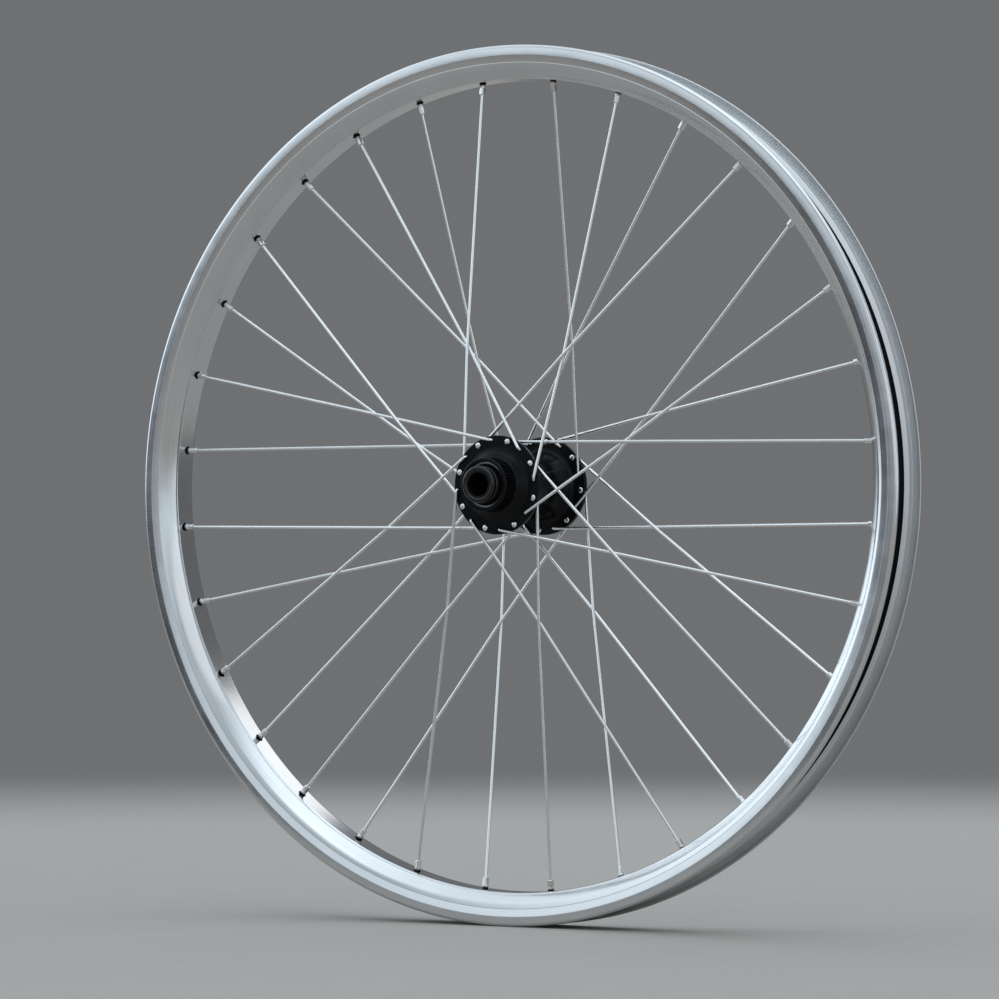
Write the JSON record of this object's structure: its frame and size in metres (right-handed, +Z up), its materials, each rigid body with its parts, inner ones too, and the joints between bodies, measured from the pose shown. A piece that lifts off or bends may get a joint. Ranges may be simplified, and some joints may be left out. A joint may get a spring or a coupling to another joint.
{
  "type": "bicycle wheel",
  "caption": "Spoked front mountain-bike wheel without tyre: double-wall rim, crossed wire spokes, high-flange disc hub that spins on a hollow axle for a through axle.",
  "frame": {"origin": "centre of the axle bore, midway between the hub's ends and on the rim's own plane", "axes": "+Y along the axle away from the disc side, +Z up with the valve hole at the bottom, +X completes the frame"},
  "size_m": [0.5699, 0.1, 0.57],
  "materials": {
    "rim_aluminium": "polished",
    "spoke_steel": "bright drawn stainless",
    "nipple_brass": "nickel plated",
    "hub_anodised": "gloss black anodised",
    "axle_aluminium": "dark anodised",
    "cap_anodised": "gloss black anodised",
    "bearing_steel": "ground steel",
    "seal_rubber": "matt black"
  },
  "bodies": {
    "axle_set": {"axle": "axle_aluminium", "end_caps": "cap_anodised", "bearing_inner_races": "bearing_steel"},
    "wheel": {"rim": "rim_aluminium", "nipples": "nipple_brass", "hub_shell": "hub_anodised", "bearing_outer_races": "bearing_steel", "bearing_seals": "seal_rubber", "spoke_01": "spoke_steel", "spoke_02": "spoke_steel", "spoke_03": "spoke_steel", "spoke_04": "spoke_steel", "spoke_05": "spoke_steel", "spoke_06": "spoke_steel", "spoke_07": "spoke_steel", "spoke_08": "spoke_steel", "spoke_09": "spoke_steel", "spoke_10": "spoke_steel", "spoke_11": "spoke_steel", "spoke_12": "spoke_steel", "spoke_13": "spoke_steel", "spoke_14": "spoke_steel", "spoke_15": "spoke_steel", "spoke_16": "spoke_steel", "spoke_17": "spoke_steel", "spoke_18": "spoke_steel", "spoke_19": "spoke_steel", "spoke_20": "spoke_steel", "spoke_21": "spoke_steel", "spoke_22": "spoke_steel", "spoke_23": "spoke_steel", "spoke_24": "spoke_steel", "spoke_25": "spoke_steel", "spoke_26": "spoke_steel", "spoke_27": "spoke_steel", "spoke_28": "spoke_steel", "spoke_29": "spoke_steel", "spoke_30": "spoke_steel", "spoke_31": "spoke_steel", "spoke_32": "spoke_steel"}
  },
  "joints": [
    {"name": "wheel_spin", "type": "hinge", "parent": "axle_set", "child": "wheel", "pos_m": [0, 0, 0], "axis": [0, 1, 0], "continuous": true}
  ]
}
